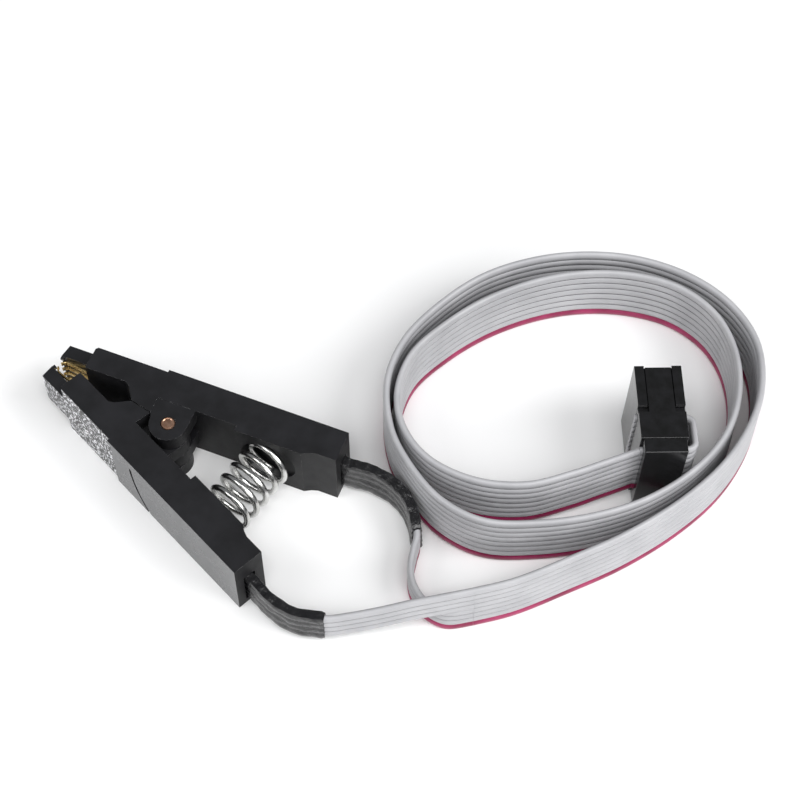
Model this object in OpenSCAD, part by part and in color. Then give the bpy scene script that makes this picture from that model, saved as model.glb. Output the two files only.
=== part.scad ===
// Spring clip for an eight-lead chip, with a flat ribbon lead and a two-row socket.
// Millimetres. The clip lies on its side: X runs from the jaws to the tails, Z along the pivot.
// The origin is on the pivot axis, in the side face that the clip lies on.

/* [Arms] */
// Thickness of the clip, along the pivot
clip_t = 10; // [9.6:0.1:10.6]
// Angle between each arm and the middle of the clip, jaws closed
arm_angle = 12.9; // [12:0.1:14]
// Pivot to the tip of the nose
tip_reach = 18.3; // [17.6:0.1:19]
// Pivot to the front of the arm, where the nose begins
shoulder_reach = 13.7; // [13.2:0.1:14.2]
// Pivot to the tail end of the arm
tail_reach = 22.2; // [21.6:0.1:23]
// Pivot axis to the arm's outer face, in front of the step
front_out = 7.05; // [6.8:0.05:7.2]
// Pivot axis to the arm's outer face, behind the step
rear_out = 7.4; // [7.3:0.05:7.6]
// Height of the nose
nose_h = 5.6; // [5.4:0.1:6]
// Thickness of the nose
nose_t = 1.85; // [1.7:0.05:2]

/* [Pivot] */
// Radius of the pin
pin_r = 0.95; // [0.85:0.05:1.05]
// Radius of the ears
ear_r = 2.5; // [2.4:0.05:2.6]
// Gap between neighbouring ears
ear_gap = 0.1; // [0.08:0.02:0.2]

/* [Spring] */
// Pivot to the middle of the spring
spring_x = 12; // [11.6:0.1:12.4]
// Outside diameter of the spring
spring_d = 7; // [6.6:0.1:7.2]
// Thickness of the spring wire
wire_d = 0.75; // [0.65:0.05:0.85]
// Turns between the closed ends
spring_turns = 5; // [4:1:6]

/* [Contacts] */
// Distance between neighbouring contacts
contact_pitch = 1.27; // [1.25:0.01:1.28]
// Width of one contact strip
contact_w = 0.6; // [0.5:0.05:0.7]

/* [Lead] */
// Distance between neighbouring wires
wire_pitch = 1.27; // [1.25:0.01:1.27]
// Thickness of the ribbon
ribbon_t = 0.9; // [0.8:0.05:1]
// Height of the black sleeves
sleeve_h = 5.5; // [5.3:0.1:5.6]
// Thickness of the black sleeves
sleeve_t = 1.5; // [1.4:0.1:1.6]

/* [Socket] */
// Length of the socket, across its four rows
socket_l = 13.8; // [13.6:0.1:14.2]
// Width of the socket
socket_w = 6.1; // [6:0.1:6.4]
// How far the socket leans as it stands
socket_lean = 1.5; // [0:0.5:3]

/* [Hidden] */
$fn = 48;

// Arm outline, measured along the arm (u) and outwards from the pivot axis (v)
grip_end = 3.3;
front_in = 3.65;
rear_in = 3;
pad_in = 2.25;
pad_start = 8.35;
pad_end = 17.7;
lug_start = 7.8;
stop_gap = 0.06;
stop_front = 6;
stop_rear = 2.9;
layer_h = clip_t / 4;
pin_clearance = 0.05;

// Slot and curved groove in the outer faces
slot_w = 0.6;
slot_deep = 0.55;
groove_r = 13.9;
groove_w = 0.45;
groove_deep = 0.3;
groove_u = 0.9;

// Contact strips on the inner face of each nose
nose_in = front_out - nose_t;
strip_t = 0.25;
strip_root = 11.6;
comb_t = 0.4;

// Blind seats that hold the ends of the spring
seat_y = 6.25;
seat_clearance = 0.25;

// Mouth in each tail, where the sleeve goes in
mouth_deep = 2.6;
mouth_clearance = 0.15;
mouth_v = 5.25;
mouth_z = 3.7;
upper_sleeve_gap = 0.95;

// Socket
pin_pitch = 2.54;
crimp_x = 5.9;
cap_x = crimp_x + ribbon_t;
cap_end = 10.7;
relief_x = cap_end + ribbon_t;
relief_t = 1.2;
fold_r = 1.6;
socket_at = [47.9, 41];
socket_yaw = -53.5;

latch_w = 3.4;
latch_deep = 0.6;

wires = 8;
ribbon_w = wires * wire_pitch;
lead_w = ribbon_w / 2;
edge_z = ribbon_w / 2;
edge_gap = 0.02;
edge_wall = (socket_l - ribbon_w) / 2 - edge_gap;

function from_clip(x, y) =
    [x * cos(arm_angle) + y * sin(arm_angle), -x * sin(arm_angle) + y * cos(arm_angle)];
function to_clip(u, v) =
    [u * cos(arm_angle) - v * sin(arm_angle), u * sin(arm_angle) + v * cos(arm_angle)];

// A curve through a list of points, and flat tubes that follow it standing on edge
function at(p, i) = p[max(0, min(len(p) - 1, i))];
function between(a, b, c, d, t) = 0.5 * (2 * b + (c - a) * t + (2 * a - 5 * b + 4 * c - d) * t * t
    + (3 * b - a - 3 * c + d) * t * t * t);
function smooth(p, n) = concat([for (i = [0 : len(p) - 2], k = [0 : n - 1])
    between(at(p, i - 1), p[i], p[i + 1], at(p, i + 2), k / n)], [p[len(p) - 1]]);
function along(c, i) = let (d = at(c, i + 1) - at(c, i - 1)) [d[0], d[1], 0] / norm([d[0], d[1]]);
function flat_ring(c, side, lean, w, t) = let (
        up = [0, 0, cos(lean)] + side * sin(lean),
        out = side * cos(lean) - [0, 0, sin(lean)])
    [for (s = [[0.5, 0.34], [0.25, 0.5], [-0.25, 0.5], [-0.5, 0.34],
               [-0.5, -0.34], [-0.25, -0.5], [0.25, -0.5], [0.5, -0.34]])
        c + out * s[0] * t + up * (s[1] > 0 ? w / 2 - (0.5 - s[1]) * t : (0.5 + s[1]) * t - w / 2)];

module flat_tube(points, steps, w, t, leans = [0]) {
    c = smooth(points, steps);
    rings = [for (i = [0 : len(c) - 1]) let (a = along(c, i), lean = i < len(leans) ? leans[i] : 0)
        each flat_ring(c[i], [a[1], -a[0], 0], lean, w, t)];
    last = (len(c) - 1) * 8;
    polyhedron(rings, concat(
        [[for (k = [7 : -1 : 0]) k]], [[for (k = [0 : 7]) last + k]],
        [for (i = [0 : len(c) - 2], k = [0 : 7])
            [i * 8 + k, i * 8 + (k + 1) % 8, (i + 1) * 8 + (k + 1) % 8, (i + 1) * 8 + k]]),
        convexity = 6);
}

// Outlines of the arm
module bar_outline() {
    polygon([[-shoulder_reach, front_in], [-shoulder_reach, front_out - 0.3],
        [-shoulder_reach + 0.3, front_out], [-grip_end, front_out], [-grip_end, rear_out],
        [tail_reach, rear_out], [tail_reach, rear_in], [pad_end + 1.7, rear_in],
        [pad_end + 0.9, pad_in + 0.5], [pad_end, pad_in], [pad_start, pad_in], [pad_start, rear_in],
        [-stop_rear, rear_in], from_clip(-stop_rear, stop_gap), from_clip(-stop_front, stop_gap),
        [-lug_start + 0.7, front_in - 0.5], [-lug_start, front_in]]);
}

module ear_outline() {
    circle(r = ear_r);
    polygon([from_clip(-stop_rear, stop_gap + 0.001), [-ear_r, 0], [ear_r, 0],
        [ear_r, rear_in + 0.1], [-stop_rear - 0.3, rear_in + 0.1]]);
}

module nose() {
    z = (clip_t - nose_h) / 2;
    translate([0, 0, z]) linear_extrude(nose_h)
        polygon([[-shoulder_reach + 0.3, nose_in], [-tip_reach, nose_in],
            [-tip_reach + 0.35, front_out], [-shoulder_reach + 0.3, front_out]]);
    // Teeth of the comb that keeps the contact tips apart
    for (i = [-2 : 2])
        translate([-tip_reach, nose_in - comb_t, clip_t / 2 + i * contact_pitch - 0.2])
            cube([0.5, comb_t + 0.1, 0.4]);
}

module arm(ears) {
    difference() {
        union() {
            linear_extrude(clip_t) bar_outline();
            nose();
            for (k = ears) translate([0, 0, k * layer_h + ear_gap / 2])
                linear_extrude(layer_h - ear_gap) ear_outline();
        }
        pivot_bore(ears);
        spring_seat();
        tail_mouth();
        contact_slots();
        side_slot();
        side_groove();
    }
}

module pivot_bore(ears) {
    clearance = ears[0] == 0 ? 0 : pin_clearance;
    translate([0, 0, -1]) cylinder(r = pin_r + clearance, h = clip_t + 2);
}

module spring_seat() {
    rotate([0, 0, -arm_angle]) translate([spring_x, seat_y, clip_t / 2])
        rotate([90, 0, 0]) cylinder(r = spring_d / 2 + seat_clearance, h = seat_y + 1);
}

module tail_mouth() {
    translate([tail_reach - mouth_deep, mouth_v - sleeve_t / 2 - mouth_clearance,
        mouth_z - sleeve_h / 2 - mouth_clearance])
        cube([mouth_deep + 1, sleeve_t + 2 * mouth_clearance, sleeve_h + 2 * mouth_clearance]);
}

module contact_slots() {
    for (i = [0 : 3])
        translate([-shoulder_reach - 1, nose_in - 0.75, contact_z(i) - contact_w / 2 - 0.03])
            cube([shoulder_reach + 1 - strip_root, 0.75, contact_w + 0.06]);
}

module side_slot() {
    translate([-grip_end, rear_out - slot_deep, -1]) cube([slot_w, 1, clip_t]);
}

module side_groove() {
    intersection() {
        translate([groove_u + groove_r, rear_out + 1, clip_t - 1.8]) rotate([90, 0, 0])
            difference() {
                cylinder(r = groove_r, h = 1 + groove_deep, $fn = 96);
                translate([0, 0, -1]) cylinder(r = groove_r - groove_w, h = 4, $fn = 96);
            }
        translate([groove_u - 1, rear_out - 1, -1]) cube([6, 3, clip_t - 0.8]);
    }
}

module place_upper() { rotate([0, 0, arm_angle]) children(); }
module place_lower() { mirror([0, 1, 0]) rotate([0, 0, arm_angle]) children(); }

module lower_arm() { color([0.13, 0.13, 0.14]) place_lower() arm([0, 2]); }
module upper_arm() { color([0.13, 0.13, 0.14]) place_upper() arm([1, 3]); }

module pivot_pin() {
    color([0.72, 0.5, 0.32]) {
        cylinder(r = pin_r, h = clip_t - 0.1);
        translate([0, 0, clip_t - 0.1]) cylinder(r1 = pin_r, r2 = pin_r - 0.15, h = 0.2);
    }
}

// Coil between the two seats, with the end turns wound closer
function coil_y(t, n) = let (half = seat_y - wire_d / 2 - 0.03, a = abs(t / n - 0.5) * 2,
    s = t / n < 0.5 ? -1 : 1) s * half * (a < 0.72 ? a * 1.13 : 0.8136 + (a - 0.72) * 0.6657);
module spring() {
    n = spring_turns + 2;
    r = (spring_d - wire_d) / 2;
    steps = 16;
    sides = 6;
    c = [for (i = [0 : n * steps]) let (a = 360 * i / steps)
        [spring_x + r * cos(a), coil_y(i / steps, n), clip_t / 2 + r * sin(a)]];
    rings = [for (i = [0 : n * steps]) let (a = 360 * i / steps, out = [cos(a), 0, sin(a)])
        each [for (k = [0 : sides - 1]) c[i] + out * wire_d / 2 * cos(60 * k)
            + [0, 1, 0] * wire_d / 2 * sin(60 * k)]];
    last = n * steps * sides;
    color([0.75, 0.75, 0.76]) polyhedron(rings, concat(
        [[for (k = [0 : sides - 1]) k]], [[for (k = [sides - 1 : -1 : 0]) last + k]],
        [for (i = [0 : n * steps - 1], k = [0 : sides - 1])
            [i * sides + k, (i + 1) * sides + k, (i + 1) * sides + (k + 1) % sides,
                i * sides + (k + 1) % sides]]), convexity = 10);
}

// One strip: a hooked tip at the end of the nose, a shoulder and a root inside the arm
function contact_z(i) = clip_t / 2 + (i - 1.5) * contact_pitch;
module contact(i) {
    color([0.85, 0.66, 0.25]) translate([0, 0, contact_z(i) - contact_w / 2])
        linear_extrude(contact_w) polygon([
            [-strip_root - 0.03, nose_in - 0.03], [-tip_reach + 0.2, nose_in - 0.03],
            [-tip_reach + 0.1, nose_in - 0.8], [-tip_reach + 0.45, nose_in - 0.8],
            [-tip_reach + 0.7, nose_in - 0.03 - strip_t], [-shoulder_reach - 1.6, nose_in - strip_t],
            [-shoulder_reach - 0.9, nose_in - 0.7], [-strip_root - 0.03, nose_in - 0.7]]);
}
module lower_contact(i) { place_lower() contact(i); }
module upper_contact(i) { place_upper() contact(i); }

// Routes, standing on edge: [x, y, height of the middle]
lower_exit = to_clip(tail_reach - mouth_deep + 0.2, mouth_v);
lower_tail = to_clip(tail_reach + 1, mouth_v);
upper_exit = to_clip(tail_reach + upper_sleeve_gap, mouth_v);
lower_sleeve_path = [[lower_exit[0], -lower_exit[1], mouth_z], [lower_tail[0], -lower_tail[1], mouth_z],
    [24.5, -11, 3.7], [28, -10.9, 3.8], [31.6, -9.4, 4.1]];
lower_lead_path = [[31.6, -9.4, 4.1], [34, -7.5, 4.4], [37, -4.9, 4.9], [40, -2.2, 5.8],
    [43, 0.4, 7], [45.6, 2.9, edge_z + lead_w / 2]];
upper_sleeve_path = [[upper_exit[0], upper_exit[1], mouth_z], [24, 11.1, mouth_z],
    [27.3, 11.4, 3.4], [30.8, 10.3, 3.1], [33.8, 7.6, 2.9]];
upper_lead_path = [[33.8, 7.6, 2.9], [34.8, 5.4, 2.8], [35.8, 3.5, 2.7], [37.3, 2, 2.6],
    [39.6, 1.3, 2.6], [42.6, 1.5, 2.56], [45.6, 2.9, edge_z - lead_w / 2]];
ribbon_path = [[45.6, 2.9, edge_z], [49.2, 7.2, edge_z], [53, 13.4, edge_z], [56.9, 20.3, edge_z],
    [60, 27.9, edge_z], [61.8, 35.6, edge_z], [61.7, 43, edge_z], [59.8, 49.3, edge_z],
    [55.8, 54.7, edge_z], [49.8, 57.8, edge_z], [42.9, 58.4, edge_z], [35.8, 56.7, edge_z],
    [29.5, 53.1, edge_z], [24.4, 48.3, edge_z], [20.5, 42.4, edge_z], [18.3, 35.4, edge_z],
    [17.6, 28.2, edge_z], [19.4, 21.6, edge_z], [23.9, 16, edge_z], [29.5, 12.7, edge_z],
    [35.4, 11, edge_z], [41.4, 11.7, edge_z], [47, 15.3, edge_z], [52.2, 20.2, edge_z],
    [56.4, 26, edge_z], [59.1, 32.8, edge_z], [59.8, 39.9, edge_z], [58, 46.4, edge_z],
    [54.2, 51.8, edge_z], [49.1, 55.2, edge_z], [43, 56, edge_z], [37, 54.2, edge_z],
    [31.5, 50.7, edge_z], [26.9, 45.9, edge_z], [23.2, 40, edge_z], [20.8, 33.6, edge_z],
    [19.7, 26.9, edge_z], [21.5, 20.9, edge_z], [25.5, 16.8, edge_z], [31, 15, edge_z],
    [37.4, 15.9, edge_z + 0.1], [43, 19, edge_z + 0.4], [47, 23.4, edge_z + 1], [49.2, 26.2, edge_z + 1.5]];
ribbon_end = socket_point([cap_end + ribbon_t / 2, -socket_w / 2, socket_l / 2]);

function socket_turn(p) = let (c = cos(socket_lean), s = sin(socket_lean))
    [p[0], p[1] * c + p[2] * s, p[2] * c - p[1] * s];
function socket_point(p) = let (q = socket_turn(p), c = cos(socket_yaw), s = sin(socket_yaw))
    [socket_at[0] + q[0] * c - q[1] * s, socket_at[1] + q[0] * s + q[1] * c,
        q[2] + socket_w / 2 * sin(socket_lean)];
module place_socket() {
    translate([socket_at[0], socket_at[1], socket_w / 2 * sin(socket_lean)])
        rotate([0, 0, socket_yaw]) rotate([-socket_lean, 0, 0]) children();
}

module lower_sleeve() { color([0.08, 0.08, 0.09]) flat_tube(lower_sleeve_path, 2, sleeve_h, sleeve_t); }
module upper_sleeve() { color([0.08, 0.08, 0.09]) flat_tube(upper_sleeve_path, 2, sleeve_h, sleeve_t); }
module lower_lead() { color([0.7, 0.7, 0.72]) flat_tube(lower_lead_path, 2, lead_w, ribbon_t); }
module upper_lead() { color([0.7, 0.7, 0.72]) flat_tube(upper_lead_path, 2, lead_w, ribbon_t); }
module ribbon() {
    n = len(ribbon_path) * 2;
    color([0.75, 0.75, 0.77]) flat_tube(concat(ribbon_path, [ribbon_end]), 2, ribbon_w, ribbon_t,
        [for (i = [0 : n]) max(0, 1 - (n - i) / 8) * socket_lean]);
}

// The ribbon runs through the crimp, folds round the cap and leaves under the strain relief
module ribbon_fold() {
    reach = socket_w / 2;
    color([0.75, 0.75, 0.77]) place_socket() translate([0, 0, (socket_l - ribbon_w) / 2])
        linear_extrude(ribbon_w) {
            translate([crimp_x, -reach - 0.2]) square([ribbon_t, socket_w + 0.2]);
            translate([cap_end, -reach]) square([ribbon_t, socket_w]);
            translate([crimp_x + fold_r, reach + fold_r - ribbon_t])
                square([relief_x - crimp_x - 2 * fold_r, ribbon_t]);
            for (s = [-1, 1])
                translate([s < 0 ? crimp_x + fold_r : relief_x - fold_r, reach]) intersection() {
                    difference() {
                        circle(r = fold_r);
                        circle(r = fold_r - ribbon_t);
                    }
                    translate([s < 0 ? -fold_r : 0, 0]) square(fold_r);
                }
        }
}

function socket_hole(i) = [i % 2 == 0 ? -pin_pitch / 2 : pin_pitch / 2,
    socket_l / 2 + (floor(i / 2) - 1.5) * pin_pitch];
module socket_body() {
    color([0.07, 0.07, 0.08]) place_socket() difference() {
        union() {
            translate([0, -socket_w / 2, 0]) cube([crimp_x, socket_w, socket_l]);
            // Key that lets the plug go in one way round
            translate([0, socket_w / 2 - 0.01, socket_l / 2 - 2]) cube([5.2, 0.9, 4]);
        }
        for (i = [0 : wires - 1]) let (h = socket_hole(i))
            translate([-1, h[0] - 0.5, h[1] - 0.8]) cube([crimp_x, 1, 1.6]);
        // Channels in both ends for the latches of the cap
        for (z = [-1, socket_l - latch_deep])
            translate([-0.3, -latch_w / 2 - 0.1, z]) cube([crimp_x + 1, latch_w + 0.2, latch_deep + 1]);
    }
}

module socket_cap() {
    color([0.07, 0.07, 0.08]) place_socket() {
        translate([cap_x, -socket_w / 2, 0]) cube([cap_end - cap_x, socket_w, socket_l]);
        for (z = [0, socket_l - latch_deep + 0.05])
            translate([0.2, -latch_w / 2, z]) cube([cap_x - 0.1, latch_w, latch_deep - 0.05]);
        // Walls at both edges of the ribbon, in the crimp
        for (z = [latch_deep, (socket_l + ribbon_w) / 2 + edge_gap])
            translate([crimp_x, -socket_w / 2, z])
                cube([ribbon_t + 0.1, socket_w, edge_wall - latch_deep]);
    }
}

module strain_relief() {
    color([0.07, 0.07, 0.08]) place_socket() {
        translate([relief_x, -socket_w / 2 + 0.3, 0]) cube([relief_t, socket_w - 0.6, socket_l]);
        for (z = [0, socket_l - edge_wall])
            translate([cap_end, -socket_w / 2 + 0.3, z]) cube([ribbon_t + 0.1, socket_w - 0.6, edge_wall]);
    }
}

module socket_contact(i) {
    h = socket_hole(i);
    color([0.85, 0.66, 0.25]) place_socket() translate([0, h[0], h[1]]) {
        for (s = [-1, 1]) translate([0.8, -0.4, s > 0 ? 0.55 : -0.8])
            cube([crimp_x - 2, 0.8, 0.25]);
        translate([crimp_x - 1.3, -0.4, -0.8]) cube([0.3, 0.8, 1.6]);
    }
}

lower_arm();
upper_arm();
pivot_pin();
spring();
for (i = [1 : 4]) lower_contact(i - 1);
for (i = [1 : 4]) upper_contact(i - 1);
lower_sleeve();
upper_sleeve();
lower_lead();
upper_lead();
ribbon();
ribbon_fold();
socket_body();
socket_cap();
strain_relief();
for (i = [1 : 8]) socket_contact(i - 1);
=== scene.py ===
import math

import bmesh
import bpy
from mathutils import Matrix, Vector, noise


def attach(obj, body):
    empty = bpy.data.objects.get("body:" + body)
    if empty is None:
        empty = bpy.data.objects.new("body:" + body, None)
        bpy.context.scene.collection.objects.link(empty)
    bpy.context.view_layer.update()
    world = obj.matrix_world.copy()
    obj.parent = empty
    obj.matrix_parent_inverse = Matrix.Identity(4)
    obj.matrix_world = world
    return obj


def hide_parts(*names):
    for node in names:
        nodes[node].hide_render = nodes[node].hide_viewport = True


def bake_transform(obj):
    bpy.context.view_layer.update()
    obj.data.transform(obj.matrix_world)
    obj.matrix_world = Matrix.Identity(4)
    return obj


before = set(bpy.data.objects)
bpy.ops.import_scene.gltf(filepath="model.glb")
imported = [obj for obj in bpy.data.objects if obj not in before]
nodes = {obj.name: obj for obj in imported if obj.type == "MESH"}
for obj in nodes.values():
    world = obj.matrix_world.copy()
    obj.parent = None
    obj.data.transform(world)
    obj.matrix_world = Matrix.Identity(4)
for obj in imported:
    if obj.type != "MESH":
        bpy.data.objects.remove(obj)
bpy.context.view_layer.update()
mm = 0.001
print("stage: frame loaded")

view = {
    "target": (19.13, 24.89, 0), "eye": (98.93, -89.75, 232.46), "lens": 90,
    "right": Vector((0.8207, 0.5713, 0)), "away": Vector((-0.5713, 0.8207, 0)),
}


def inMetres(point):
    return Vector(point) * mm


def fromView(right, away, up):
    return inMetres(view["target"]) + view["right"] * right + view["away"] * away + Vector((0, 0, up))


def aimAt(obj, target):
    obj.rotation_euler = (target - obj.location).to_track_quat("-Z", "Y").to_euler()


scene = bpy.context.scene
scene.view_settings.view_transform = "Standard"
camera = bpy.data.objects.new("camera", bpy.data.cameras.new("camera"))
scene.collection.objects.link(camera)
camera.location = inMetres(view["eye"])
camera.data.lens = view["lens"]
camera.data.clip_start = 0.01
aimAt(camera, inMetres(view["target"]))
scene.camera = camera

lights = [
    {"name": "softFront", "at": (0.05, -0.55, 0.32), "size": (0.7, 0.14), "watts": 1.4},
    {"name": "softRight", "at": (0.5, -0.2, 0.5), "size": (0.35, 0.4), "watts": 3.3},
    {"name": "softLeft", "at": (-0.5, -0.2, 0.55), "size": (0.3, 0.4), "watts": 1.5},
    {"name": "softTop", "at": (0.05, -0.3, 0.78), "size": (0.5, 0.3), "watts": 3.1},
]
for light in lights:
    lamp = bpy.data.lights.new(light["name"], "AREA")
    lamp.shape = "RECTANGLE"
    lamp.size, lamp.size_y = light["size"]
    lamp.energy = light["watts"]
    holder = bpy.data.objects.new(light["name"], lamp)
    holder.location = fromView(*light["at"])
    aimAt(holder, fromView(0, 0, 0))
    scene.collection.objects.link(holder)

world = bpy.data.worlds.new("studio")
world.use_nodes = True
world.node_tree.nodes["Background"].inputs["Color"].default_value = (0.95, 0.97, 1, 1)
world.node_tree.nodes["Background"].inputs["Strength"].default_value = 0.2
scene.world = world


def newMaterial(name, colour, rough, metal=0.0, **sockets):
    made = bpy.data.materials.new(name)
    made.use_nodes = True
    shader = made.node_tree.nodes["Principled BSDF"]
    shader.inputs["Base Color"].default_value = (*colour, 1)
    shader.inputs["Roughness"].default_value = rough
    shader.inputs["Metallic"].default_value = metal
    for socket, value in sockets.items():
        shader.inputs[socket.replace("_", " ")].default_value = value
    return made


def noiseNode(made, scale, detail=4, roughness=0.6):
    tree = made.node_tree
    place = tree.nodes.new("ShaderNodeTexCoord")
    texture = tree.nodes.new("ShaderNodeTexNoise")
    texture.inputs["Scale"].default_value = scale
    texture.inputs["Detail"].default_value = detail
    texture.inputs["Roughness"].default_value = roughness
    tree.links.new(place.outputs["Object"], texture.inputs["Vector"])
    return texture


def varyColour(made, texture, dark, light, low=0.35, high=0.65):
    tree = made.node_tree
    ramp = tree.nodes.new("ShaderNodeValToRGB")
    ramp.color_ramp.elements[0].position = low
    ramp.color_ramp.elements[0].color = (*dark, 1)
    ramp.color_ramp.elements[1].position = high
    ramp.color_ramp.elements[1].color = (*light, 1)
    tree.links.new(texture.outputs["Fac"], ramp.inputs["Fac"])
    tree.links.new(ramp.outputs["Color"], tree.nodes["Principled BSDF"].inputs["Base Color"])


def varyRough(made, texture, low, high):
    tree = made.node_tree
    spread = tree.nodes.new("ShaderNodeMapRange")
    spread.inputs["To Min"].default_value = low
    spread.inputs["To Max"].default_value = high
    tree.links.new(texture.outputs["Fac"], spread.inputs["Value"])
    tree.links.new(spread.outputs["Result"], tree.nodes["Principled BSDF"].inputs["Roughness"])


def addBump(made, texture, strength, depth):
    tree = made.node_tree
    bump = tree.nodes.new("ShaderNodeBump")
    bump.inputs["Strength"].default_value = strength
    bump.inputs["Distance"].default_value = depth
    tree.links.new(texture.outputs["Fac"], bump.inputs["Height"])
    tree.links.new(bump.outputs["Normal"], tree.nodes["Principled BSDF"].inputs["Normal"])


armPlastic = newMaterial("armPlastic", (0.01, 0.01, 0.012), 0.3, IOR=1.62)
varyColour(armPlastic, noiseNode(armPlastic, 260, 5), (0.006, 0.006, 0.007), (0.012, 0.012, 0.014))
varyRough(armPlastic, noiseNode(armPlastic, 420, 3), 0.24, 0.36)
addBump(armPlastic, noiseNode(armPlastic, 2600, 2), 0.12, 0.00003)

# The bump is the real moulded grain; the near-white speckles in the colour are painted glints of light
# on the textured face
grainGlintPlastic = newMaterial("grainGlintPlastic", (0.03, 0.03, 0.033), 0.4, IOR=1.62)
varyColour(grainGlintPlastic, noiseNode(grainGlintPlastic, 2600, 1), (0.006, 0.006, 0.007), (0.85, 0.85, 0.88),
           low=0.53, high=0.59)
addBump(grainGlintPlastic, noiseNode(grainGlintPlastic, 2400, 2), 0.9, 0.00014)

# Near-white patches on the arms' rounded edges: a painted highlight
edgeHighlightPlastic = newMaterial("edgeHighlightPlastic", (0.03, 0.03, 0.033), 0.2, IOR=1.7)
varyColour(edgeHighlightPlastic, noiseNode(edgeHighlightPlastic, 1400, 4), (0.02, 0.02, 0.022), (0.7, 0.7, 0.72),
           0.42, 0.66)
varyRough(edgeHighlightPlastic, noiseNode(edgeHighlightPlastic, 900, 3), 0.16, 0.34)

# A lighter, bluish copy of the arm plastic for the outer side faces past the slot: painted reflection
# of the front light
outerReflectionPlastic = newMaterial("outerReflectionPlastic", (0.02, 0.021, 0.025), 0.26, IOR=2.0)
varyColour(outerReflectionPlastic, noiseNode(outerReflectionPlastic, 300, 5), (0.015, 0.016, 0.019), (0.03, 0.031, 0.036))
varyRough(outerReflectionPlastic, noiseNode(outerReflectionPlastic, 500, 3), 0.22, 0.34)

# A darker, duller copy of the arm plastic for inner faces, tail faces and slot and groove floors:
# painted shade
innerShadePlastic = newMaterial("innerShadePlastic", (0.006, 0.006, 0.007), 0.5, IOR=1.35)
varyColour(innerShadePlastic, noiseNode(innerShadePlastic, 300, 4), (0.004, 0.004, 0.005), (0.01, 0.01, 0.011))
varyRough(innerShadePlastic, noiseNode(innerShadePlastic, 500, 3), 0.42, 0.6)

copper = newMaterial("copper", (0.72, 0.4, 0.26), 0.3, 1.0)
varyColour(copper, noiseNode(copper, 900, 4), (0.5, 0.27, 0.17), (0.8, 0.5, 0.36))
varyRough(copper, noiseNode(copper, 1500, 4), 0.2, 0.45)

nickel = newMaterial("nickel", (0.72, 0.72, 0.7), 0.2, 1.0)
varyRough(nickel, noiseNode(nickel, 1200, 3), 0.14, 0.3)
varyColour(nickel, noiseNode(nickel, 500, 3), (0.6, 0.6, 0.58), (0.8, 0.8, 0.79))

gold = newMaterial("gold", (0.83, 0.6, 0.24), 0.26, 1.0)
varyColour(gold, noiseNode(gold, 800, 3), (0.72, 0.48, 0.16), (0.92, 0.7, 0.32))
varyRough(gold, noiseNode(gold, 1700, 3), 0.18, 0.36)

sleeveRubber = newMaterial("sleeveRubber", (0.008, 0.008, 0.009), 0.2, IOR=1.6)
varyRough(sleeveRubber, noiseNode(sleeveRubber, 600, 4), 0.12, 0.3)
varyColour(sleeveRubber, noiseNode(sleeveRubber, 350, 4), (0.005, 0.005, 0.006), (0.012, 0.012, 0.013))
addBump(sleeveRubber, noiseNode(sleeveRubber, 700, 5), 0.8, 0.0004)

ribbonGrey = newMaterial("ribbonGrey", (0.4, 0.4, 0.42), 0.36, IOR=1.5)
varyColour(ribbonGrey, noiseNode(ribbonGrey, 160, 4), (0.37, 0.37, 0.385), (0.44, 0.44, 0.455))
varyRough(ribbonGrey, noiseNode(ribbonGrey, 700, 4), 0.28, 0.46)
addBump(ribbonGrey, noiseNode(ribbonGrey, 1500, 3), 0.15, 0.00004)

# Dark grey for the faces between wires: painted shade in the grooves
grooveShadeGrey = newMaterial("grooveShadeGrey", (0.12, 0.12, 0.13), 0.5)
varyColour(grooveShadeGrey, noiseNode(grooveShadeGrey, 400, 4), (0.09, 0.09, 0.1), (0.16, 0.16, 0.17))

ribbonRed = newMaterial("ribbonRed", (0.42, 0.03, 0.12), 0.36, IOR=1.5)
varyColour(ribbonRed, noiseNode(ribbonRed, 220, 4), (0.2, 0.01, 0.05), (0.34, 0.025, 0.1))
varyRough(ribbonRed, noiseNode(ribbonRed, 700, 4), 0.28, 0.46)

socketPlastic = newMaterial("socketPlastic", (0.006, 0.006, 0.006), 0.2, IOR=1.55)
varyColour(socketPlastic, noiseNode(socketPlastic, 700, 4), (0.004, 0.004, 0.004), (0.009, 0.009, 0.01))
varyRough(socketPlastic, noiseNode(socketPlastic, 500, 4), 0.14, 0.26)
addBump(socketPlastic, noiseNode(socketPlastic, 1900, 3), 0.2, 0.00004)

floorPaint = newMaterial("floorPaint", (0.93, 0.93, 0.93), 0.7)
varyRough(floorPaint, noiseNode(floorPaint, 6, 2), 0.65, 0.75)
print("stage: materials made")


# groove is the half-width of the painted groove shade, as a share of the pitch
cable = {"pitch": 1.27, "thick": 0.9, "edgeZ": 5.08, "leadRise": 2.54, "groove": 0.075, "steps": 8}
edgeZ = cable["edgeZ"]


def finishMesh(name, mesh, materials, smoothAngle=35):
    obj = bpy.data.objects.new(name, mesh)
    scene.collection.objects.link(obj)
    for made in materials:
        mesh.materials.append(made)
    for face in mesh.polygons:
        face.use_smooth = True
    mesh.set_sharp_from_angle(angle=math.radians(smoothAngle))
    return obj


def smoothLine(points, steps):
    line = []
    last = len(points) - 1
    for i in range(last):
        a, b, c, d = (Vector(points[max(0, min(last, i + k))]) for k in (-1, 0, 1, 2))
        for k in range(steps):
            t = k / steps
            line.append(0.5 * (2 * b + (c - a) * t + (2 * a - 5 * b + 4 * c - d) * t * t
                               + (3 * b - a - 3 * c + d) * t ** 3))
    return line + [Vector(points[last])]


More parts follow.
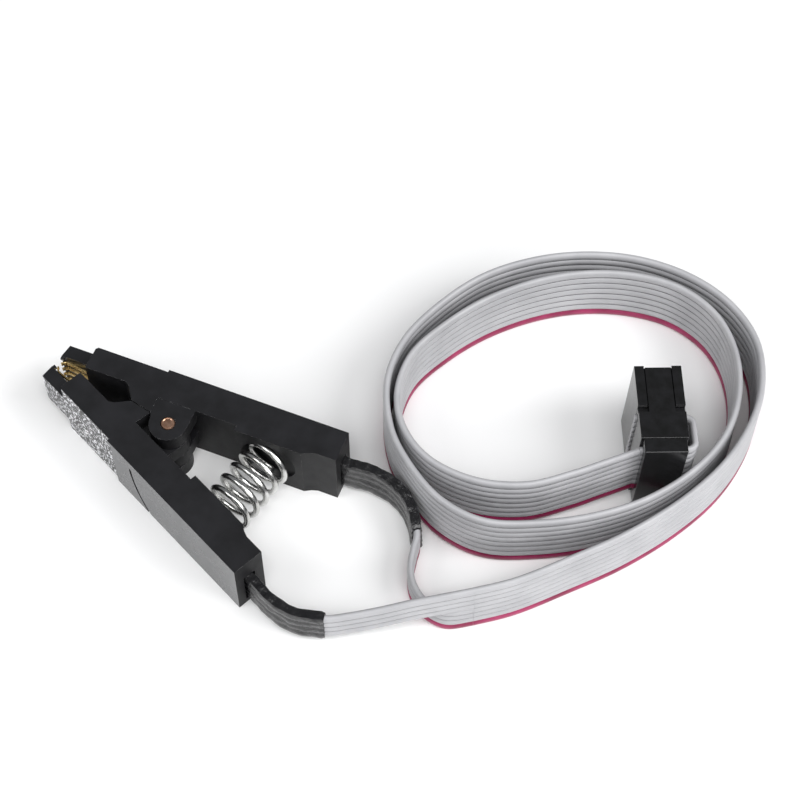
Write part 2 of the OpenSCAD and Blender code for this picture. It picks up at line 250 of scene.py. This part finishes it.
# Sideways and upward directions of a band that stands on edge along a line
def edgeFrames(line, leans=None):
    frames = []
    for i in range(len(line)):
        step = line[min(i + 1, len(line) - 1)] - line[max(i - 1, 0)]
        side = Vector((step.y, -step.x, 0)).normalized()
        lean = leans[i] if leans else 0
        up = Vector((0, 0, math.cos(lean))) + side * math.sin(lean)
        frames.append((side * math.cos(lean) - Vector((0, 0, math.sin(lean))), up))
    return frames


# Outline of a flat cable: wires side by side with thin webs between them, as (out, up, wire)
def wireSection(wires, pitch, thick, perLobe=8, widest=76):
    reach = math.radians(widest)
    half = []
    for wire in range(wires):
        middle = (wire - (wires - 1) / 2) * pitch
        for k in range(perLobe + 1):
            if k == 0 and wire > 0:
                continue
            turn = -reach + 2 * reach * k / perLobe
            up = middle + pitch / 2 * math.sin(turn) / math.sin(reach)
            half.append((thick / 2 * math.cos(turn), up, wire))
    end = wires * pitch / 2
    back = [(-out, up, wire) for out, up, wire in reversed(half)]
    return [(0, -end, 0)] + half + [(0, end, wires - 1)] + back


# 1 on the coloured wire, 2 for painted shade in the groove between two wires, 0 elsewhere
def wireDyeShadeFinish(here, following, redWire, wires):
    if here[2] == redWire and following[2] == redWire:
        return 1
    middle = (here[1] + following[1]) / 2 / cable["pitch"]
    shadedGroove = abs(middle - round(middle)) < cable["groove"]
    return 2 if shadedGroove and abs(middle) < wires / 2 - 0.5 else 0


# A section carried along a line, with closed ends
def sweep(name, line, frames, section, materials, redWire=None, scales=None):
    mesh = bpy.data.meshes.new(name)
    vertices = []
    for i, centre in enumerate(line):
        out, up = frames[i]
        grow = scales[i] if scales else 1
        vertices += [(centre + out * a * grow + up * b * grow) * mm for a, b, wire in section]
    count = len(section)
    faces = [list(reversed(range(count)))]
    for i in range(len(line) - 1):
        for k in range(count):
            n = (k + 1) % count
            faces.append((i * count + k, i * count + n, (i + 1) * count + n, (i + 1) * count + k))
    faces.append([(len(line) - 1) * count + k for k in range(count)])
    mesh.from_pydata(vertices, [], faces)
    if redWire is not None:
        wires = section[count // 2][2] + 1
        for i, face in enumerate(mesh.polygons):
            here, following = section[(i - 1) % count], section[i % count]
            if 0 < i < len(mesh.polygons) - 1:
                face.material_index = wireDyeShadeFinish(here, following, redWire, wires)
    mesh.update()
    bm = bmesh.new()
    bm.from_mesh(mesh)
    bmesh.ops.recalc_face_normals(bm, faces=bm.faces)
    bm.to_mesh(mesh)
    bm.free()
    return finishMesh(name, mesh, materials, 50)


# A copy of a CAD solid with rounded edges
def roundedCopy(name, node, radius, materials, segments=2, minAngle=25, highlightSlot=None):
    source = nodes[node]
    bm = bmesh.new()
    bm.from_mesh(source.data)
    bmesh.ops.transform(bm, matrix=source.matrix_world, verts=bm.verts)
    bmesh.ops.remove_doubles(bm, verts=bm.verts, dist=0.000002)
    bmesh.ops.dissolve_limit(bm, angle_limit=math.radians(1), verts=bm.verts, edges=bm.edges)
    sharp = [edge for edge in bm.edges
             if len(edge.link_faces) == 2 and edge.calc_face_angle(0) > math.radians(minAngle)]
    made = bmesh.ops.bevel(bm, geom=sharp, offset=radius * mm, segments=segments, profile=0.5,
                           affect="EDGES", clamp_overlap=True, material=-1)
    # When a slot is given, the rounding faces take it; on the arms it is the painted edge highlight
    if highlightSlot is not None:
        for face in made["faces"]:
            face.material_index = highlightSlot
    bmesh.ops.recalc_face_normals(bm, faces=bm.faces)
    mesh = bpy.data.meshes.new(name)
    bm.to_mesh(mesh)
    bm.free()
    obj = finishMesh(name, mesh, materials)
    evened = obj.modifiers.new("evened", "WEIGHTED_NORMAL")
    evened.keep_sharp = True
    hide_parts(node)
    return obj


clip = {
    "armAngle": 12.9, "thick": 10, "slotStart": -3.3, "tail": 22.2,
    "edge": 0.15, "springX": 12, "seatY": 6.25,
}
armPaintedLightFinishes = [armPlastic, grainGlintPlastic, edgeHighlightPlastic, outerReflectionPlastic, innerShadePlastic]
grainGlintSlot, bevelHighlightSlot, outerReflectionSlot, innerShadeSlot = 1, 2, 3, 4
# Where the painted shade and the painted reflection go on an arm
zone = {
    "slotBefore": 0.1, "slotAfter": 0.65, "slotFloor": (6.7, 7.1), "tailFace": 0.3,
    "innerBelow": 3.9, "outerAbove": 6.6, "grooveAlong": (0.5, 4), "grooveFloor": (7.05, 7.32),
}


def toArm(point, side):
    x, y = point[0] / mm, side * point[1] / mm
    turn = math.radians(clip["armAngle"])
    return x * math.cos(turn) + y * math.sin(turn), y * math.cos(turn) - x * math.sin(turn)


def armPoint(u, v, side, z):
    turn = math.radians(clip["armAngle"])
    return (u * math.cos(turn) - v * math.sin(turn),
            side * (u * math.sin(turn) + v * math.cos(turn)), z)


def isBetween(value, limits):
    return limits[0] < value < limits[1]


# Which of an arm's finishes a face has, by its place along the arm (u) and out from the pivot (v):
# plain, grain with painted glints, painted edge highlight, painted reflection on outer faces or painted
# shade on inner faces and floors
def armPaintedLightFinish(face, side):
    u, v = toArm(face.center, side)
    slotStart = clip["slotStart"]
    besideSlot = slotStart - zone["slotBefore"] < u < slotStart + zone["slotAfter"]
    if besideSlot and isBetween(v, zone["slotFloor"]) and abs(face.normal.z) < 0.5:
        return innerShadeSlot
    if face.material_index == bevelHighlightSlot or abs(face.normal.z) > 0.5:
        return face.material_index
    if u > clip["tail"] - zone["tailFace"] or v < zone["innerBelow"]:
        return innerShadeSlot
    if isBetween(u, zone["grooveAlong"]) and isBetween(v, zone["grooveFloor"]):
        return innerShadeSlot
    if v > zone["outerAbove"]:
        return grainGlintSlot if u < slotStart else outerReflectionSlot
    return face.material_index


for name, node, side, body in (("lowerArmBody", "lower_arm", -1, "base"),
                               ("upperArmBody", "upper_arm", 1, "lever")):
    arm = roundedCopy(name, node, clip["edge"], armPaintedLightFinishes, highlightSlot=bevelHighlightSlot)
    for face in arm.data.polygons:
        face.material_index = armPaintedLightFinish(face, side)
    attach(arm, body)

contact = {
    "noseIn": 5.2, "thick": 0.22, "wide": 0.6, "pitch": 1.27,
    "line": [(-11.7, -0.4), (-13.6, -0.62), (-14.6, -0.66), (-17.1, -0.34), (-17.7, -0.42),
             (-18.1, -0.78)],
    "edge": 0.04, "steps": 5,
}


# One strip along the nose, bent as its line says, with a hook at the tip
def stripMesh(name, side, z):
    line = smoothLine([(u, contact["noseIn"] + v, 0) for u, v in contact["line"]], contact["steps"])
    bm = bmesh.new()
    rings = []
    for i, centre in enumerate(line):
        step = (line[min(i + 1, len(line) - 1)] - line[max(i - 1, 0)]).normalized()
        out = Vector((-step.y, step.x, 0)) * contact["thick"] / 2
        ring = []
        for a, b in ((1, -1), (1, 1), (-1, 1), (-1, -1)):
            u, v = (centre + out * a)[:2]
            ring.append(bm.verts.new(inMetres(armPoint(u, v, side, z + b * contact["wide"] / 2))))
        rings.append(ring)
    for i in range(len(rings) - 1):
        for k in range(4):
            bm.faces.new((rings[i][k], rings[i][(k + 1) % 4], rings[i + 1][(k + 1) % 4],
                          rings[i + 1][k]))
    bm.faces.new(rings[0])
    bm.faces.new(rings[-1])
    bmesh.ops.recalc_face_normals(bm, faces=bm.faces)
    longEdges = [edge for edge in bm.edges
                 if len(edge.link_faces) == 2 and edge.calc_face_angle(0) > 1]
    bmesh.ops.bevel(bm, geom=longEdges, offset=contact["edge"] * mm, segments=1, profile=0.5,
                    affect="EDGES", material=-1)
    mesh = bpy.data.meshes.new(name)
    bm.to_mesh(mesh)
    bm.free()
    return mesh


for name, side, body in (("lower", -1, "base"), ("upper", 1, "lever")):
    for i in range(4):
        z = clip["thick"] / 2 + (i - 1.5) * contact["pitch"]
        strip = finishMesh(f"{name}Strip{i + 1}", stripMesh(f"{name}Strip{i + 1}", side, z), [gold])
        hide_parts(f"{name}_contact_{i + 1}")
        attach(strip, body)

pinLook = {
    "profile": [(0, 0), (0.85, 0), (0.95, 0.1), (0.95, 9.9), (0.84, 10.08), (0.7, 10.1),
                (0.62, 10.04), (0.3, 10.05), (0, 10.06)],
    "steps": 40,
}


def lathe(name, profile, steps, materials):
    bm = bmesh.new()
    line = [bm.verts.new((r * mm, 0, z * mm)) for r, z in profile]
    edges = [bm.edges.new((line[i], line[i + 1])) for i in range(len(line) - 1)]
    bmesh.ops.spin(bm, geom=line + edges, cent=(0, 0, 0), axis=(0, 0, 1), dvec=(0, 0, 0),
                   angle=2 * math.pi, steps=steps, use_merge=True)
    bmesh.ops.remove_doubles(bm, verts=bm.verts, dist=0.000001)
    bmesh.ops.recalc_face_normals(bm, faces=bm.faces)
    mesh = bpy.data.meshes.new(name)
    bm.to_mesh(mesh)
    bm.free()
    return finishMesh(name, mesh, materials)


pin = lathe("pivotPin", pinLook["profile"], pinLook["steps"], [copper])
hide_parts("pivot_pin")
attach(pin, "base")

spring = {
    "outer": 7, "wire": 0.85, "turns": 6, "perTurn": 40, "sides": 12, "seatGap": 0.03,
    "openShare": 0.8, "openPitch": 1.04, "endPitch": 0.84, "startTurn": -0.25,
}


# Height of the coil along its axis, with the end turns wound closer
def coilHeight(share):
    half = clip["seatY"] - spring["wire"] / 2 - spring["seatGap"]
    away = abs(share - 0.5) * 2
    openPart = min(away, spring["openShare"])
    eased = openPart * spring["openPitch"] + (away - openPart) * spring["endPitch"]
    return math.copysign(half * eased, share - 0.5)


def springMesh():
    radius = (spring["outer"] - spring["wire"]) / 2
    count = spring["turns"] * spring["perTurn"]
    vertices, faces = [], []
    for i in range(count + 1):
        turn = 2 * math.pi * (i / spring["perTurn"] + spring["startTurn"])
        out = Vector((math.cos(turn), 0, math.sin(turn)))
        centre = Vector((clip["springX"], coilHeight(i / count), clip["thick"] / 2)) + out * radius
        for k in range(spring["sides"]):
            part = 2 * math.pi * k / spring["sides"]
            reach = out * math.cos(part) + Vector((0, math.sin(part), 0))
            vertices.append((centre + reach * spring["wire"] / 2) * mm)
    sides = spring["sides"]
    for i in range(count):
        for k in range(sides):
            n = (k + 1) % sides
            faces.append((i * sides + k, (i + 1) * sides + k, (i + 1) * sides + n, i * sides + n))
    faces.append(list(range(sides)))
    faces.append([count * sides + k for k in reversed(range(sides))])
    mesh = bpy.data.meshes.new("coilSpring")
    mesh.from_pydata(vertices, [], faces)
    return mesh


coil = finishMesh("coilSpring", springMesh(), [nickel], 60)
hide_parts("spring")
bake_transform(coil)
print("stage: clip made")

ribbonRoute = [(45.6, 2.9), (49.2, 7.2), (53, 13.4), (56.9, 20.3), (60, 27.9), (61.8, 35.6), (61.7, 43),
               (59.8, 49.3), (55.8, 54.7), (49.8, 57.8), (42.9, 58.4), (35.8, 56.7), (29.5, 53.1),
               (24.4, 48.3),
               (20.5, 42.4), (18.3, 35.4), (17.6, 28.2), (19.4, 21.6), (23.9, 16), (29.5, 12.7),
               (35.4, 11),
               (41.4, 11.7), (47, 15.3), (52.2, 20.2), (56.4, 26), (59.1, 32.8), (59.8, 39.9),
               (58, 46.4),
               (54.2, 51.8), (49.1, 55.2), (43, 56), (37, 54.2), (31.5, 50.7), (26.9, 45.9), (23.2, 40),
               (20.8, 33.6), (19.7, 26.9), (21.5, 20.9), (25.5, 16.8), (31, 15)]
ribbonRoute = [(x, y, edgeZ) for x, y in ribbonRoute]
ribbonRoute += [(37.4, 15.9, edgeZ + 0.1), (43, 19, edgeZ + 0.4), (47, 23.4, edgeZ + 1),
                (49.2, 26.2, edgeZ + 1.5)]

socket = {
    "at": (47.9, 41), "yaw": -53.5, "lean": 1.5, "long": 13.8, "wide": 6.1,
    "crimp": 5.9, "capEnd": 10.7, "foldRadius": 1.6, "leanPoints": 32,
}


# The socket's own axes, from its mating face along its depth, across it and up
def socketMatrix():
    lean = math.radians(socket["lean"])
    place = Vector((socket["at"][0], socket["at"][1], socket["wide"] / 2 * math.sin(lean)))
    turned = Matrix.Rotation(math.radians(socket["yaw"]), 4, "Z") @ Matrix.Rotation(-lean, 4, "X")
    return Matrix.Translation(place) @ turned


inSocket = socketMatrix()
thick = cable["thick"]
ribbonEnd = inSocket @ Vector((socket["capEnd"] + thick / 2, -socket["wide"] / 2, socket["long"] / 2))
ribbonLine = smoothLine(ribbonRoute + [tuple(ribbonEnd)], cable["steps"])
# The ribbon stands upright and takes up the socket's lean over its last points
leans = [max(0.0, 1 - (len(ribbonLine) - 1 - i) / socket["leanPoints"]) * math.radians(socket["lean"])
         for i in range(len(ribbonLine))]
wide = wireSection(8, cable["pitch"], thick)
narrow = wireSection(4, cable["pitch"], thick)
wireDyeShadeFinishes = [ribbonGrey, ribbonRed, grooveShadeGrey]
ribbon = sweep("ribbonCable", ribbonLine, edgeFrames(ribbonLine, leans), wide, wireDyeShadeFinishes, 0)
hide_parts("ribbon")
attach(ribbon, "base")


# The ribbon's way through the socket, under the cap and back over it
def foldLine():
    reach = socket["wide"] / 2
    radius = socket["foldRadius"] - thick / 2
    front, back = socket["crimp"] + thick / 2, socket["capEnd"] + thick / 2
    line = [(front, -reach - 0.2 + 0.6 * k) for k in range(6)] + [(front, reach)]
    for k in range(1, 9):
        turn = math.pi / 2 * k / 8
        line.append((front + radius - radius * math.cos(turn), reach + radius * math.sin(turn)))
    for k in range(1, 9):
        turn = math.pi / 2 * (1 - k / 8)
        line.append((back - radius + radius * math.cos(turn), reach + radius * math.sin(turn)))
    line += [(back, reach - 0.6 * k) for k in range(1, 10)] + [(back, -reach)]
    return line


def foldPiece():
    flat = foldLine()
    line = [inSocket @ Vector((x, y, socket["long"] / 2)) for x, y in flat]
    turned = inSocket.to_3x3()
    up = turned @ Vector((0, 0, 1))
    frames = []
    for i in range(len(flat)):
        a, b = flat[max(i - 1, 0)], flat[min(i + 1, len(flat) - 1)]
        along = turned @ Vector((b[0] - a[0], b[1] - a[1], 0)).normalized()
        frames.append((along.cross(up).normalized(), up))
    return sweep("ribbonFold", line, frames, wide, wireDyeShadeFinishes, 0)


fold = foldPiece()
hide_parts("ribbon_fold")
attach(fold, "base")

for name, node, edge in (("socketBody", "socket_body", 0.1), ("socketCap", "socket_cap", 0.1),
                         ("strainRelief", "strain_relief", 0.14)):
    piece = roundedCopy(name, node, edge, [socketPlastic])
    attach(piece, "base")
for i in range(1, 9):
    kept = nodes[f"socket_contact_{i}"]
    kept.data.materials.clear()
    kept.data.materials.append(gold)

mouthZ = 3.7
lowerSleeveRoute = [armPoint(19.8, 5.25, -1, mouthZ), armPoint(23.2, 5.25, -1, mouthZ),
                    (24.5, -11, mouthZ),
                    (28, -10.9, 3.8), (31.6, -9.4, 4.1)]
lowerLeadRoute = [(34, -7.5, 4.5), (37, -4.9, 5.3), (40, -2.3, 6.5), (43, 0.2, 7.5),
                  (45.6, 2.9, edgeZ + cable["leadRise"])]
upperSleeveRoute = [armPoint(19.9, 5.25, 1, mouthZ), armPoint(23.15, 5.25, 1, mouthZ),
                    (24, 11.1, mouthZ),
                    (27.3, 11.4, 3.4), (30.8, 10.3, 3.1), (33.8, 7.6, 2.9)]
upperLeadRoute = [(34.8, 5.4, 2.8), (35.8, 3.3, 2.7), (37.5, 1.4, 2.6), (40.1, 0.3, 2.56),
                  (43.1, 0.6, 2.55),
                  (45.6, 2.9, edgeZ - cable["leadRise"])]


sleeveLook = {
    "tall": 5.5, "thick": 1.5, "perLobe": 6, "widest": 38, "steps": 12, "ripple": 0.012,
    "rippleTurn": 1.1, "endPinch": 0.05, "creaseScale": (0.9, 0.9, 0.45), "creaseDepth": 0.00012,
}


# A shrunk sleeve over four wires, pinched at its ends and lightly creased
def sleevePiece(name, route, seed):
    line = smoothLine(route, sleeveLook["steps"])
    scales = []
    for i in range(len(line)):
        pinch = sleeveLook["endPinch"] if min(i, len(line) - 1 - i) < 2 else 0
        scales.append(1 + sleeveLook["ripple"] * math.sin(i * sleeveLook["rippleTurn"] + seed) - pinch)
    section = wireSection(4, sleeveLook["tall"] / 4, sleeveLook["thick"], sleeveLook["perLobe"],
                          sleeveLook["widest"])
    piece = sweep(name, line, edgeFrames(line), section, [sleeveRubber], scales=scales)
    a, b, c = sleeveLook["creaseScale"]
    for vertex in piece.data.vertices:
        place = vertex.co / mm
        push = noise.noise(Vector((place.x * a, place.y * b, place.z * c + seed)))
        vertex.co += Vector((vertex.normal.x, vertex.normal.y, 0)) * push * sleeveLook["creaseDepth"]
    return piece


cords = {}
for name, sleeveRoute, leadRoute, red, side in (("lower", lowerSleeveRoute, lowerLeadRoute, -1, -1),
                                               ("upper", upperSleeveRoute, upperLeadRoute, 0, 1)):
    line = smoothLine(sleeveRoute + leadRoute, cable["steps"])
    lead = sweep(f"{name}LeadWires", line, edgeFrames(line), narrow, wireDyeShadeFinishes, red)
    sleeve = sleevePiece(f"{name}Sleeve", sleeveRoute, 2.0 + side)
    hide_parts(f"{name}_lead")
    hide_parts(f"{name}_sleeve")
    cords[name] = (lead, sleeve, line)

for piece in cords["lower"][:2]:
    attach(piece, "base")
for piece in cords["upper"][:2]:
    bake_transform(piece)

print("stage: cables made")

floorMesh = bpy.data.meshes.new("floor")
floorReach, floorZ = 3, -0.00002
corners = [(-1, -1), (1, -1), (1, 1), (-1, 1)]
floorMesh.from_pydata([(x * floorReach, y * floorReach, floorZ) for x, y in corners], [],
                      [(0, 1, 2, 3)])
floor = finishMesh("floor", floorMesh, [floorPaint])
